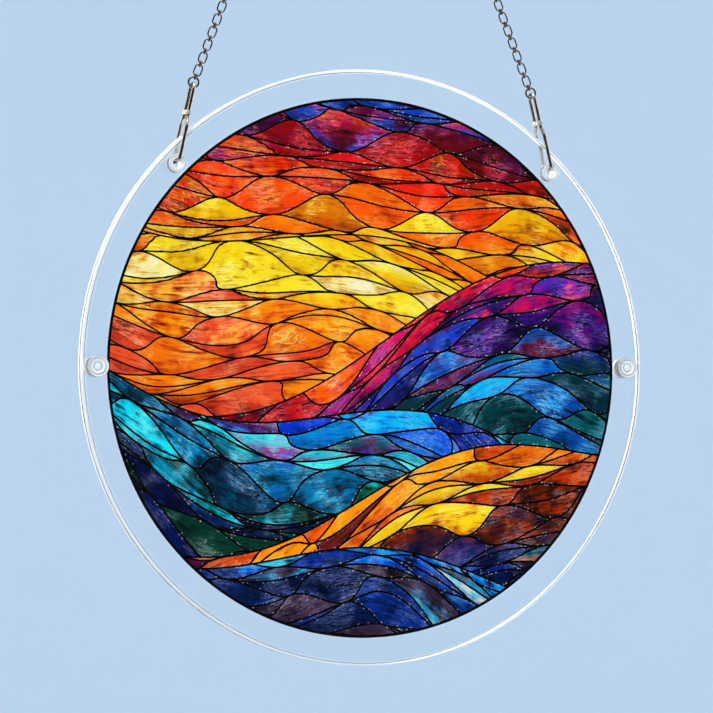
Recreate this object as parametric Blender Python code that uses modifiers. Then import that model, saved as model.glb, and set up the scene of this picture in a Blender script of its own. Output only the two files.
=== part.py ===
"""A round clear acrylic suncatcher, hung by two fine chains from one ring.

The panel stands in the XZ plane, its front towards -Y. The origin is at the inside of the hanging
ring, at its top, where a nail or a hook carries it, so that all of it hangs below. Lengths are in
metres, and every place below is worked out from the sizes named here.
"""

import math

import bmesh
import bpy
from mathutils import Matrix

# The gap between two pieces that touch.
contact_gap = 0.00025

# The acrylic panel, and the circle near its edge on which all four holes lie.
panel_diameter = 0.200
panel_thickness = 0.004
panel_edge_bevel = 0.0007
hole_inset = 0.0055
hanging_hole_degrees = 45.0

# The clear eyelets that line the two hanging holes.
eyelet_bore = 0.0034
eyelet_wall = 0.0006
eyelet_lip_width = 0.0007
eyelet_lip_height = 0.0004

# The clear bumper studs at each side, pushed through the panel from the front.
bumper_shank_diameter = 0.0040
bumper_head_diameter = 0.0072
bumper_head_height = 0.0012
bumper_pad_diameter = 0.0068
bumper_pad_height = 0.0016
bumper_edge_round = 0.0004
bumper_ring_diameter = 0.0048
bumper_nub_diameter = 0.0024
bumper_groove_depth = 0.0005

# The long wire hooks that join the panel to the chains, and the sleeves that pinch them.
hook_wire = 0.0012
hook_length = 0.0265
hook_runs_apart = 0.0040
hook_corner_radius = 0.0012
hook_tilt_degrees = 13.0
sleeve_height = 0.0015
sleeve_wall = 0.0003
sleeve_drop = 0.0100

# The chain: ovals seen from the front, joined by small rings seen edge on.
link_wire = 0.00055
oval_length = 0.0045
oval_width = 0.0031
small_ring_diameter = 0.0023
link_bite = 0.00004
ovals_per_chain = 34

# The larger round links at the two ends of each chain.
jump_ring_diameter = 0.0042
jump_ring_wire = 0.0007

# The ring that both chains hang from.
hanging_ring_diameter = 0.014
hanging_ring_wire = 0.0016

# How finely the round shapes are cut.
panel_sides = 96
turned_sides = 16
wire_sides = 8
bend_steps = 6
wire_corners = 3
oval_sides = 8
small_ring_sides = 4
jump_ring_sides = 8
hanging_ring_sides = 24
bevel_steps = 1
merge_distance = 0.00001


def empty_scene():
    for item in list(bpy.data.objects):
        bpy.data.objects.remove(item, do_unlink=True)


def new_collection(name):
    group = bpy.data.collections.new(name)
    bpy.context.scene.collection.children.link(group)
    return group


def new_material(name, colour, roughness, metallic, alpha=1.0):
    finish = bpy.data.materials.new(name)
    finish.use_nodes = True
    shader = finish.node_tree.nodes["Principled BSDF"]
    shader.inputs["Base Color"].default_value = (*colour, 1.0)
    shader.inputs["Roughness"].default_value = roughness
    shader.inputs["Metallic"].default_value = metallic
    shader.inputs["Alpha"].default_value = alpha
    finish.diffuse_color = (*colour, alpha)
    return finish


def add_object(name, data, group, finish=None, parent=None):
    item = bpy.data.objects.new(name, data)
    group.objects.link(item)
    item.parent = parent
    if finish:
        data.materials.append(finish)
    return item


def shade_smooth(mesh, sharp_degrees=35.0):
    mesh.shade_smooth()
    mesh.set_sharp_from_angle(angle=math.radians(sharp_degrees))


def cylinder_mesh(name, diameter, depth, sides):
    """A cylinder about the Y axis."""
    bm = bmesh.new()
    bmesh.ops.create_cone(
        bm, cap_ends=True, segments=sides, radius1=diameter / 2, radius2=diameter / 2, depth=depth
    )
    bmesh.ops.rotate(bm, verts=bm.verts, matrix=Matrix.Rotation(math.pi / 2, 3, "X"))
    mesh = bpy.data.meshes.new(name)
    bm.to_mesh(mesh)
    bm.free()
    shade_smooth(mesh)
    return mesh


def turned_object(name, profile, closed, group, finish, parent):
    """A profile of (radius, height) points turned about Z, then laid so that its top faces -Y."""
    mesh = bpy.data.meshes.new(name)
    bm = bmesh.new()
    points = [bm.verts.new((radius, 0.0, height)) for radius, height in profile]
    for first, second in zip(points, points[1:]):
        bm.edges.new((first, second))
    if closed:
        bm.edges.new((points[-1], points[0]))
    bm.to_mesh(mesh)
    bm.free()
    item = add_object(name, mesh, group, finish, parent)
    item.rotation_euler.x = math.pi / 2
    turn = item.modifiers.new("turn", "SCREW")
    turn.steps = turned_sides
    turn.render_steps = turned_sides
    turn.use_merge_vertices = True
    turn.merge_threshold = merge_distance
    turn.use_smooth_shade = True
    return item


def arc(centre, radius, start_degrees, end_degrees, steps):
    """Points from one angle to the other, both ends among them."""
    points = []
    for step in range(steps + 1):
        angle = math.radians(start_degrees + (end_degrees - start_degrees) * step / steps)
        points.append((centre[0] + radius * math.cos(angle), centre[1] + radius * math.sin(angle)))
    return points


def add_spline(curve, points):
    spline = curve.splines.new("POLY")
    spline.points.add(len(points) - 1)
    for place, point in zip(spline.points, points):
        place.co = (*point, 1.0)
    spline.use_cyclic_u = True


def cut(item, cutter):
    boolean = item.modifiers.new("cut_" + cutter.name, "BOOLEAN")
    boolean.operation = "DIFFERENCE"
    boolean.object = cutter


def hole_place(degrees_from_top):
    """A point on the hole circle, seen from the panel's centre: (right, up)."""
    circle = panel_diameter / 2 - hole_inset
    angle = math.radians(degrees_from_top)
    return circle * math.sin(angle), circle * math.cos(angle)


def make_panel(group, cutters, finish, centre):
    panel = add_object(
        "panel",
        cylinder_mesh("panel", panel_diameter, panel_thickness, panel_sides),
        group,
        finish,
        centre,
    )
    edge = panel.modifiers.new("polished_edge", "BEVEL")
    edge.width = panel_edge_bevel
    edge.segments = bevel_steps
    edge.limit_method = "ANGLE"
    edge.angle_limit = math.radians(60)
    eyelet_hole = eyelet_bore + 2 * eyelet_wall + 2 * contact_gap
    bumper_hole = bumper_shank_diameter + 2 * contact_gap
    holes = (
        ("eyelet_hole", hanging_hole_degrees, eyelet_hole),
        ("bumper_hole", 90.0, bumper_hole),
    )
    for label, degrees, diameter in holes:
        for side in (-1, 1):
            right, up = hole_place(side * degrees)
            name = label + ("_left" if side < 0 else "_right")
            mesh = cylinder_mesh(name, diameter, 3 * panel_thickness, turned_sides)
            drill = add_object(name, mesh, cutters, parent=centre)
            drill.location = (right, 0.0, up)
            drill.hide_render = True
            drill.display_type = "WIRE"
            cut(panel, drill)
    return panel


def make_eyelet(name, side, group, finish, centre):
    """A tube through the panel, with a lip on each face."""
    bore = eyelet_bore / 2
    barrel = bore + eyelet_wall
    lip = barrel + eyelet_lip_width
    seat = panel_thickness / 2 + contact_gap
    face = seat + eyelet_lip_height
    corner = eyelet_lip_height / 2
    profile = [
        (bore, face - corner),
        (bore + corner, face),
        (lip - corner, face),
        (lip, face - corner),
        (lip, seat),
        (barrel, seat),
        (barrel, -seat),
        (lip, -seat),
        (lip, corner - face),
        (lip - corner, -face),
        (bore + corner, -face),
        (bore, corner - face),
    ]
    eyelet = turned_object(name, profile, True, group, finish, centre)
    right, up = hole_place(side * hanging_hole_degrees)
    eyelet.location = (right, 0.0, up)
    return eyelet


def make_bumper(name, side, group, finish, centre):
    """A stud with a ringed head in front, a shank through the panel and a flat pad behind."""
    seat = panel_thickness / 2 + contact_gap
    top = seat + bumper_head_height
    bottom = -seat - bumper_pad_height
    head = bumper_head_diameter / 2
    ring = bumper_ring_diameter / 2
    nub = bumper_nub_diameter / 2
    shank = bumper_shank_diameter / 2
    pad = bumper_pad_diameter / 2
    soft = bumper_edge_round
    floor = top - bumper_groove_depth
    half_way = (ring + head) / 2
    profile = [
        (0.0, top),
        (nub / 2, top - bumper_groove_depth / 4),
        (nub, floor),
        ((nub + ring) / 2, floor),
        (ring - soft / 2, top - soft / 2),
        (ring, top - soft / 2),
        (half_way, floor),
        (head - soft, top),
        (head, top - soft),
        (head, seat),
        (shank, seat),
        (shank, -seat),
        (pad, -seat),
        (pad, bottom + soft),
        (pad - soft, bottom),
        (0.0, bottom),
    ]
    bumper = turned_object(name, profile, False, group, finish, centre)
    right, up = hole_place(side * 90.0)
    bumper.location = (right, 0.0, up)
    return bumper


def hook_lower_half_gap():
    """From the middle of the panel to the middle of the wire that passes its lipped eyelet."""
    return panel_thickness / 2 + eyelet_lip_height + 2 * contact_gap + hook_wire / 2


def hook_foot(side):
    """The middle of the wire inside the eyelet, on which the panel hangs, and the way up."""
    right, up = hole_place(side * hanging_hole_degrees)
    tilt = math.radians(hook_tilt_degrees)
    way_right, way_up = -side * math.sin(tilt), math.cos(tilt)
    rise = eyelet_bore / 2 - hook_wire / 2 - contact_gap
    return right + rise * way_right, up + rise * way_up


def hook_head(side):
    """The middle of the wire at the top of the hook, which the chain holds."""
    right, up = hook_foot(side)
    tilt = math.radians(hook_tilt_degrees)
    return right - side * hook_length * math.sin(tilt), up + hook_length * math.cos(tilt)


def edge_above_foot():
    """How far up the hook the panel's edge passes between its two runs."""
    right, up = hook_foot(1)
    tilt = math.radians(hook_tilt_degrees)
    outward = up * math.cos(tilt) - right * math.sin(tilt)
    inside_edge = (panel_diameter / 2) ** 2 - right**2 - up**2
    return math.sqrt(outward**2 + inside_edge) - outward


def make_hook(name, side, group, finish, centre):
    """A closed loop of wire: square below, where it passes the panel, and round at the top."""
    wide = hook_lower_half_gap()
    narrow = hook_runs_apart / 2
    corner = hook_corner_radius
    past_edge = edge_above_foot() + contact_gap
    pinch = hook_length - sleeve_drop - sleeve_height / 2 - contact_gap
    outline = arc((wide - corner, corner), corner, -90, 0, bend_steps // 2)
    outline += [(wide, past_edge), (narrow, pinch)]
    outline += arc((0.0, hook_length - narrow), narrow, 0, 180, bend_steps)
    outline += [(-narrow, pinch), (-wide, past_edge)]
    outline += arc((corner - wide, corner), corner, 180, 270, bend_steps // 2)
    curve = bpy.data.curves.new(name, "CURVE")
    curve.dimensions = "3D"
    curve.bevel_depth = hook_wire / 2
    curve.bevel_resolution = (wire_sides - 4) // 2
    add_spline(curve, [(0.0, across, along) for across, along in outline])
    hook = add_object(name, curve, group, finish, centre)
    right, up = hook_foot(side)
    hook.location = (right, 0.0, up)
    hook.rotation_euler.y = -side * math.radians(hook_tilt_degrees)
    return hook


def slot_outline(half_length, radius):
    """A straight-sided outline with round ends, long along its second axis."""
    far_end = arc((0.0, half_length), radius, 0, 180, bend_steps)
    near_end = arc((0.0, -half_length), radius, 180, 360, bend_steps)
    return far_end + near_end


def make_sleeve(name, side, group, finish, centre):
    """A flattened collar around both runs of the hook."""
    curve = bpy.data.curves.new(name, "CURVE")
    curve.dimensions = "2D"
    curve.fill_mode = "BOTH"
    curve.extrude = sleeve_height / 2
    half_length = hook_runs_apart / 2
    inner = hook_wire / 2 + contact_gap
    for radius in (inner + sleeve_wall, inner):
        add_spline(curve, [(*point, 0.0) for point in slot_outline(half_length, radius)])
    sleeve = add_object(name, curve, group, finish, centre)
    right, up = hook_head(side)
    tilt = math.radians(hook_tilt_degrees)
    sleeve.location = (
        right + side * sleeve_drop * math.sin(tilt),
        0.0,
        up - sleeve_drop * math.cos(tilt),
    )
    sleeve.rotation_euler.y = -side * tilt
    return sleeve


def link_mesh(name, diameter, wire, length, sides, edge_on):
    """A ring of few-sided wire, drawn out to the length given, its axis along Y or along X."""
    across = (diameter - wire) / 2
    # A few-sided wire as thick as the round one reaches further at its corners.
    turn = 2 * math.pi / wire_corners
    corner_reach = wire / 2 * math.sqrt(turn / math.sin(turn))
    bm = bmesh.new()
    section = bmesh.ops.create_circle(bm, segments=wire_corners, radius=corner_reach)["verts"]
    # One corner points to the middle of the link, where it presses just into the next link's.
    bmesh.ops.rotate(bm, verts=section, matrix=Matrix.Rotation(math.pi / 2, 3, "X"))
    bmesh.ops.rotate(bm, verts=section, matrix=Matrix.Rotation(-math.pi / 2, 3, "Y"))
    outward = corner_reach - wire / 2 - link_bite
    first_side = math.pi / 2 - math.pi / sides
    bmesh.ops.translate(bm, verts=section, vec=(across + outward, 0.0, 0.0))
    bmesh.ops.rotate(bm, verts=section, matrix=Matrix.Rotation(first_side, 3, "Z"))
    bmesh.ops.spin(
        bm,
        geom=bm.verts[:] + bm.edges[:],
        axis=(0.0, 0.0, 1.0),
        angle=2 * math.pi,
        steps=sides,
        use_merge=True,
    )
    bmesh.ops.recalc_face_normals(bm, faces=bm.faces)
    # The ring lies flat, so it is stood up, with a straight side at its top and bottom, and its
    # straight sides are brought out to where the round ring would reach.
    bmesh.ops.rotate(bm, verts=bm.verts, matrix=Matrix.Rotation(math.pi / 2, 3, "X"))
    reach_of_sides = 1 / math.cos(math.pi / sides)
    bmesh.ops.scale(bm, verts=bm.verts, vec=(reach_of_sides, 1.0, reach_of_sides))
    if edge_on:
        bmesh.ops.rotate(bm, verts=bm.verts, matrix=Matrix.Rotation(math.pi / 2, 3, "Z"))
    drawn_out = (length - diameter) / 2
    for vertex in bm.verts:
        vertex.co.z += drawn_out if vertex.co.z > 0 else -drawn_out
    mesh = bpy.data.meshes.new(name)
    bm.to_mesh(mesh)
    bm.free()
    return mesh


def chain_plan():
    """The height of each link's middle above the hook's top wire, and that of the hanging ring."""
    jump_reach = (jump_ring_diameter - jump_ring_wire) / 2
    oval_reach = (oval_length - link_wire) / 2
    small_reach = (small_ring_diameter - link_wire) / 2
    mixed_wires = (jump_ring_wire + link_wire) / 2
    first_jump = jump_reach - (jump_ring_wire + hook_wire) / 2 - contact_gap
    top = first_jump + jump_reach
    small_rings, ovals = [], []
    crossing = mixed_wires
    for _ in range(ovals_per_chain):
        small_rings.append(top - crossing + small_reach)
        top = small_rings[-1] + small_reach
        ovals.append(top - link_wire + oval_reach)
        top = ovals[-1] + oval_reach
        crossing = link_wire
    last_jump = top - mixed_wires + jump_reach
    top = last_jump + jump_reach
    ring_wire_middle = top - (jump_ring_wire + hanging_ring_wire) / 2 - contact_gap
    ring_middle = ring_wire_middle + (hanging_ring_diameter - hanging_ring_wire) / 2
    return first_jump, small_rings, ovals, last_jump, ring_middle


def chain_tilt_degrees():
    """Both chains point at the middle of the hanging ring."""
    right, _ = hook_head(1)
    reach = chain_plan()[-1]
    return math.degrees(math.asin(right / reach))


def panel_drop():
    """How far the middle of the panel hangs below the middle of the hanging ring."""
    _, up = hook_head(1)
    reach = chain_plan()[-1]
    return up + reach * math.cos(math.radians(chain_tilt_degrees()))


def linked_mesh(name, parts):
    """One mesh of many links: each part is a link's mesh and the heights that it stands at."""
    bm = bmesh.new()
    for part, heights in parts:
        for height in heights:
            before = len(bm.verts)
            bm.from_mesh(part)
            bm.verts.ensure_lookup_table()
            bmesh.ops.translate(bm, verts=bm.verts[before:], vec=(0.0, 0.0, height))
    mesh = bpy.data.meshes.new(name)
    bm.to_mesh(mesh)
    bm.free()
    shade_smooth(mesh, sharp_degrees=80.0)
    return mesh


def make_chain(name, side, group, cutters, finish, centre):
    """All links of one side in one body: they join only where one wire presses on the next."""
    first_jump, small_rings, ovals, last_jump, _ = chain_plan()
    oval = link_mesh("oval", oval_width, link_wire, oval_length, oval_sides, False)
    small = link_mesh(
        "small_ring", small_ring_diameter, link_wire, small_ring_diameter, small_ring_sides, True
    )
    jump_front = link_mesh(
        "jump_front", jump_ring_diameter, jump_ring_wire, jump_ring_diameter, jump_ring_sides, False
    )
    jump_edge = link_mesh(
        "jump_edge", jump_ring_diameter, jump_ring_wire, jump_ring_diameter, jump_ring_sides, True
    )
    front_links = linked_mesh(name, [(jump_front, [first_jump]), (oval, ovals)])
    edge_links = linked_mesh(name + "_edge_links", [(small, small_rings), (jump_edge, [last_jump])])
    right, up = hook_head(side)
    tilt = math.radians(chain_tilt_degrees())
    chain = add_object(name, front_links, group, finish, centre)
    others = add_object(name + "_edge_links", edge_links, cutters, parent=centre)
    others.hide_render = True
    others.display_type = "WIRE"
    for item in (chain, others):
        item.location = (right, 0.0, up)
        item.rotation_euler.y = -side * tilt
    join = chain.modifiers.new("join_edge_links", "BOOLEAN")
    join.operation = "UNION"
    join.object = others
    return chain


def make_hanging_ring(group, finish):
    reach = (hanging_ring_diameter - hanging_ring_wire) / 2
    bpy.ops.mesh.primitive_torus_add(
        major_segments=hanging_ring_sides,
        minor_segments=wire_sides,
        major_radius=reach,
        minor_radius=hanging_ring_wire / 2,
    )
    ring = bpy.context.object
    for place in ring.users_collection:
        place.objects.unlink(ring)
    group.objects.link(ring)
    ring.name = "hanging_ring"
    ring.rotation_euler.x = math.pi / 2
    ring.location.z = hanging_ring_wire / 2 - reach
    ring.data.materials.append(finish)
    shade_smooth(ring.data)
    return ring


def build():
    empty_scene()
    group = new_collection("suncatcher")
    cutters = new_collection("cutters")
    acrylic = new_material("clear_acrylic", (0.93, 0.96, 0.98), 0.03, 0.0, 0.35)
    soft_clear = new_material("clear_soft_plastic", (0.90, 0.92, 0.93), 0.18, 0.0, 0.6)
    steel = new_material("polished_steel", (0.62, 0.60, 0.57), 0.16, 1.0)
    sleeve_steel = new_material("bright_steel", (0.80, 0.78, 0.75), 0.22, 1.0)

    hanging_ring = make_hanging_ring(group, steel)
    centre = bpy.data.objects.new("panel_centre", None)
    group.objects.link(centre)
    centre.location.z = hanging_ring.location.z - panel_drop()

    make_panel(group, cutters, acrylic, centre)
    for word, side in (("left", -1), ("right", 1)):
        make_eyelet("eyelet_" + word, side, group, soft_clear, centre)
        make_bumper("bumper_" + word, side, group, soft_clear, centre)
        make_hook("hook_" + word, side, group, steel, centre)
        make_sleeve("sleeve_" + word, side, group, sleeve_steel, centre)
        make_chain("chain_" + word, side, group, cutters, steel, centre)


build()
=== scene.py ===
import math

import bmesh
import bpy
from mathutils import Matrix, Vector


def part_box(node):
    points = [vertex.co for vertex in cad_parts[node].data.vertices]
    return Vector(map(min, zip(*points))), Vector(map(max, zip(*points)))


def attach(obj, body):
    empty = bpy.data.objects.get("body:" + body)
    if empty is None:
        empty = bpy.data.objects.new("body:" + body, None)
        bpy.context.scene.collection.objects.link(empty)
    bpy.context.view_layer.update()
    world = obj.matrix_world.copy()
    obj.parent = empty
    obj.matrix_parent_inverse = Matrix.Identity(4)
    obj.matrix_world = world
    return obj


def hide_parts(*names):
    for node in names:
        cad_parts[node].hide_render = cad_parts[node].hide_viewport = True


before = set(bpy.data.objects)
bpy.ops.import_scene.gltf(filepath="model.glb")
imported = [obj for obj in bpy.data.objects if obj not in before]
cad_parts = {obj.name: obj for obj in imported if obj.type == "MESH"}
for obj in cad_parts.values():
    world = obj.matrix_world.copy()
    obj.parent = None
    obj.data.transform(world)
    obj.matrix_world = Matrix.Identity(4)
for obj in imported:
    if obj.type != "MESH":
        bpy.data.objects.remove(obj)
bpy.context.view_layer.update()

# The studio: one pale seamless bowl, soft lamps, and a lamp behind the panel so that its colours
# glow with the light that comes through. The camera stands a little to the left of the panel and
# just below its middle, and looks slightly up.
panel_low, panel_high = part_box("panel")
panel_middle = (panel_low + panel_high) / 2

bowl_floor_radius = 2.6
bowl_bend = 0.9
bowl_wall = 3.2
bowl_floor_drop = 1.25
bowl_sides = 128
bowl_bend_steps = 16
bowl_colour = (0.62, 0.72, 0.82)
bowl_clouding = 0.97
curtain_radius = 2.4
curtain_half_height = 1.5
curtain_steps = 32
surround_colour = (0.90, 0.95, 1.0, 1.0)
surround_strength = 0.75

camera_turn = math.radians(-20.55)
camera_rise = math.radians(-1.55)
camera_distance = 1.174
camera_roll = math.radians(-0.4)
photo_width = 713
focal_length_pixels = 3500
panel_middle_pixels = (367.0, 367.3)
sensor_width = 36.0


def new_finish(name, uniform):
    """A finish with its node tree and its shader, whose uniform values are set on the shader."""
    finish = bpy.data.materials.new(name)
    finish.use_nodes = True
    shader = finish.node_tree.nodes["Principled BSDF"]
    for label, value in uniform.items():
        shader.inputs[label].default_value = value
    return finish, finish.node_tree, shader


def feed(socket, value):
    """Sets a socket, or links it where the value is another node's output."""
    if isinstance(value, bpy.types.NodeSocket):
        tree.links.new(value, socket)
    else:
        socket.default_value = value


def add_node(kind, inputs, **settings):
    """One node of the finish in hand, its settings made and its inputs fed."""
    node = tree.nodes.new(kind)
    for name, value in settings.items():
        setattr(node, name, value)
    for name, value in inputs.items():
        feed(node.inputs[name], value)
    return node


def on_piece():
    """Places on the piece itself, so that no pattern slides over it."""
    return add_node("ShaderNodeTexCoord", {}).outputs["Object"]


def mottle(place, scale, detail=2.0, **more):
    """Clouds of light and dark, from 0 to 1."""
    inputs = {"Vector": place, "Scale": scale, "Detail": detail, **more}
    return add_node("ShaderNodeTexNoise", inputs).outputs["Fac"]


def stops_along(position, stops):
    """Colours at given places along a position from 0 to 1."""
    ramp = add_node("ShaderNodeValToRGB", {"Fac": position})
    elements = ramp.color_ramp.elements
    while len(elements) < len(stops):
        elements.new(0.5)
    for element, (where, colour) in zip(elements, stops):
        element.position = where
        element.color = (*colour, 1.0)
    return ramp.outputs["Color"]


def make_object(name, bm, finish, sharp_degrees=40.0):
    """The modelled mesh as an object at the origin, smooth except across its sharp edges."""
    mesh = bpy.data.meshes.new(name)
    bm.to_mesh(mesh)
    bm.free()
    mesh.shade_smooth()
    mesh.set_sharp_from_angle(angle=math.radians(sharp_degrees))
    mesh.materials.append(finish)
    item = bpy.data.objects.new(name, mesh)
    bpy.context.scene.collection.objects.link(item)
    return item


def draw_out(bm, ring):
    """Draws a skin out of a ring of edges, and gives the new ring's corners and edges."""
    made = bmesh.ops.extrude_edge_only(bm, edges=ring)["geom"]
    corners = [item for item in made if isinstance(item, bmesh.types.BMVert)]
    new_ring = [
        item for item in made
        if isinstance(item, bmesh.types.BMEdge) and all(end in corners for end in item.verts)
    ]
    return corners, new_ring


bowl_paint, tree, shader = new_finish("pale_bowl_paint", {"Roughness": 0.9})
clouded_colour = [bowl_clouding * part for part in bowl_colour]
bowl_tint = stops_along(mottle(on_piece(), 1.3), ((0.0, clouded_colour), (1.0, bowl_colour)))
feed(shader.inputs["Base Color"], bowl_tint)

bm = bmesh.new()
bmesh.ops.create_circle(bm, cap_ends=True, segments=bowl_sides, radius=bowl_floor_radius)
rim = [edge for edge in bm.edges if edge.is_boundary]
bowl_outline = []
for step in range(1, bowl_bend_steps + 1):
    angle = math.pi / 2 * step / bowl_bend_steps
    out, up = bowl_bend * math.sin(angle), bowl_bend * (1 - math.cos(angle))
    bowl_outline.append((bowl_floor_radius + out, up))
bowl_outline.append((bowl_floor_radius + bowl_bend, bowl_bend + bowl_wall))
radius, height = bowl_floor_radius, 0.0
for next_radius, next_height in bowl_outline:
    corners, rim = draw_out(bm, rim)
    grow = next_radius / radius
    bmesh.ops.scale(bm, verts=corners, vec=(grow, grow, 1.0))
    bmesh.ops.translate(bm, verts=corners, vec=(0.0, 0.0, next_height - height))
    radius, height = next_radius, next_height
bmesh.ops.reverse_faces(bm, faces=[face for face in bm.faces if face.calc_center_median().z > 0])
bmesh.ops.translate(bm, verts=bm.verts, vec=panel_middle - Vector((0.0, 0.0, bowl_floor_drop)))
bowl = make_object("bowl", bm, bowl_paint)

dark_cloth, tree, shader = new_finish("dark_cloth", {"Roughness": 1.0})
cloth_tints = ((0.0, (0.006, 0.006, 0.007)), (1.0, (0.016, 0.016, 0.018)))
feed(shader.inputs["Base Color"], stops_along(mottle(on_piece(), 60.0), cloth_tints))


def hang_dark_curtain(name, middle_turn, width_degrees):
    """A dark curtain that only reflections see, so that wires and clear plastic get dark lines."""
    curtain_bm = bmesh.new()
    ends = [
        curtain_bm.verts.new((0.0, -curtain_radius, height))
        for height in (-curtain_half_height, curtain_half_height)
    ]
    curtain_bm.edges.new(ends)
    first_turn = Matrix.Rotation(math.radians(middle_turn - width_degrees / 2), 3, "Z")
    bmesh.ops.rotate(
        curtain_bm, verts=curtain_bm.verts, cent=(0.0, 0.0, 0.0), matrix=first_turn
    )
    bmesh.ops.spin(
        curtain_bm, geom=curtain_bm.verts[:] + curtain_bm.edges[:], cent=(0.0, 0.0, 0.0),
        axis=(0.0, 0.0, 1.0), angle=math.radians(width_degrees), steps=curtain_steps,
    )
    bmesh.ops.translate(curtain_bm, verts=curtain_bm.verts, vec=panel_middle)
    curtain = make_object(name, curtain_bm, dark_cloth)
    curtain.visible_camera = False
    curtain.visible_diffuse = False
    curtain.visible_transmission = False
    curtain.visible_shadow = False


hang_dark_curtain("dark_curtain_front", middle_turn=-20.0, width_degrees=204.0)
hang_dark_curtain("dark_curtain_back", middle_turn=180.0, width_degrees=54.0)


def add_lamp(name, offset, size, watts, colour):
    """A soft lamp, placed from the panel's middle and turned towards it."""
    light = bpy.data.lights.new(name, "AREA")
    light.shape = "RECTANGLE"
    light.size, light.size_y = size
    light.energy = watts
    light.color = colour
    lamp = bpy.data.objects.new(name, light)
    bpy.context.scene.collection.objects.link(lamp)
    lamp.location = panel_middle + Vector(offset)
    lamp.rotation_mode = "QUATERNION"
    lamp.rotation_quaternion = (-Vector(offset)).to_track_quat("-Z", "Y")
    lamp.visible_camera = False
    return lamp


warm_white = (1.0, 0.93, 0.84)
front_lamp = add_lamp(
    "lamp_left", offset=(-1.5, -1.3, 0.9), size=(0.9, 0.9), watts=34.0, colour=(1.0, 0.97, 0.93)
)
front_lamp.visible_glossy = False
add_lamp("lamp_right", offset=(1.84, -0.30, 0.1), size=(0.5, 1.9), watts=10.0, colour=warm_white)
add_lamp("lamp_far_left", offset=(-1.6, 0.95, 0.1), size=(0.5, 1.9), watts=8.0, colour=warm_white)
add_lamp("lamp_top", offset=(0.0, 0.1, 1.9), size=(1.4, 1.4), watts=40.0, colour=(1.0, 1.0, 1.0))
back_lamp = add_lamp(
    "lamp_behind", offset=(-0.1, 0.7, 0.15), size=(0.9, 0.9), watts=29.5, colour=(1.0, 0.98, 0.94)
)
back_lamp.data.spread = math.radians(75.0)
back_lamp.visible_transmission = False
back_lamp.visible_glossy = False

surround = bpy.data.worlds.new("soft_surround")
surround.use_nodes = True
background = surround.node_tree.nodes["Background"]
background.inputs["Color"].default_value = surround_colour
background.inputs["Strength"].default_value = surround_strength
bpy.context.scene.world = surround
bpy.context.scene.view_settings.view_transform = "Standard"

towards_camera = Vector((
    math.sin(camera_turn) * math.cos(camera_rise),
    -math.cos(camera_turn) * math.cos(camera_rise),
    math.sin(camera_rise),
))
camera_data = bpy.data.cameras.new("camera")
camera_data.sensor_width = sensor_width
camera_data.lens = sensor_width * focal_length_pixels / photo_width
camera_data.clip_start = 0.05
camera_data.clip_end = 50.0
camera = bpy.data.objects.new("camera", camera_data)
bpy.context.scene.collection.objects.link(camera)
bpy.context.scene.camera = camera
right_of_middle = panel_middle_pixels[0] - photo_width / 2
below_middle = panel_middle_pixels[1] - photo_width / 2
aim = (-towards_camera).to_track_quat("-Z", "Y").to_matrix()
aim = aim @ Matrix.Rotation(math.atan(right_of_middle / focal_length_pixels), 3, "Y")
aim = aim @ Matrix.Rotation(math.atan(below_middle / focal_length_pixels), 3, "X")
aim = aim @ Matrix.Rotation(camera_roll, 3, "Z")
camera.location = panel_middle + camera_distance * towards_camera
camera.rotation_mode = "QUATERNION"
camera.rotation_quaternion = aim.to_quaternion()

# The panel: a disc cut from clear cast acrylic sheet. Its edge is rounded and flame polished, and
# its bright white rim is a painted highlight in its finish. Four holes are drilled near it, two for
# the hanging hooks and two for the bumper studs.
panel_radius = (panel_high.x - panel_low.x) / 2
panel_thickness = panel_high.y - panel_low.y
panel_edge_bevel = 0.0007
panel_edge_steps = 4
panel_sides = 256
hanging_hole_diameter = 0.0051
stud_hole_diameter = 0.0045
hole_sides = 48
acrylic_ior = 1.49
# How far in the painted rim highlights reach, where those on the wall begin, and their diffuse share.
rim_line_reach = 0.0016
rim_wall_start = 0.80
rim_skin_share = 0.6
print_radius = 0.0906
sides = (("left", -1), ("right", 1))
in_panel_plane = (1.0, 0.0, 1.0)


def middle_of(node):
    """The middle of a CAD piece."""
    low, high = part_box(node)
    return (low + high) / 2


def figure(operation, *values):
    """One step of arithmetic in the finish in hand."""
    return add_node("ShaderNodeMath", dict(enumerate(values)), operation=operation).outputs[0]


def place_step(operation, *values):
    """One step of arithmetic on places or colours, or a place's distance from nought."""
    node = add_node("ShaderNodeVectorMath", dict(enumerate(values)), operation=operation)
    return node.outputs["Value" if operation == "LENGTH" else "Vector"]


def rescaled(value, low, high, new_low=0.0, new_high=1.0, **settings):
    """A value between low and high, brought to between the new ones."""
    inputs = {
        "Value": value, "From Min": low, "From Max": high, "To Min": new_low, "To Max": new_high
    }
    return add_node("ShaderNodeMapRange", inputs, **settings).outputs["Result"]


def blend(kind, factor, first, second):
    """Between two numbers, places or colours by a factor."""
    sockets = {"FLOAT": (2, 3, 0), "VECTOR": (4, 5, 1), "RGBA": (6, 7, 2)}
    first_socket, second_socket, result = sockets[kind]
    inputs = {0: factor, first_socket: first, second_socket: second}
    return add_node("ShaderNodeMix", inputs, data_type=kind).outputs[result]


def blend_shaders(factor, first, second):
    """Between two shaders by a factor."""
    return add_node("ShaderNodeMixShader", {0: factor, 1: first, 2: second}).outputs["Shader"]


acrylic, tree, shader = new_finish(
    "clear_cast_acrylic",
    {"Base Color": (0.985, 0.995, 1.0, 1.0), "Transmission Weight": 1.0, "IOR": acrylic_ior},
)
smudges = mottle(on_piece(), 38.0, detail=5.0)
feed(shader.inputs["Roughness"], rescaled(smudges, 0.45, 0.80, 0.0, 0.05))
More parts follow.
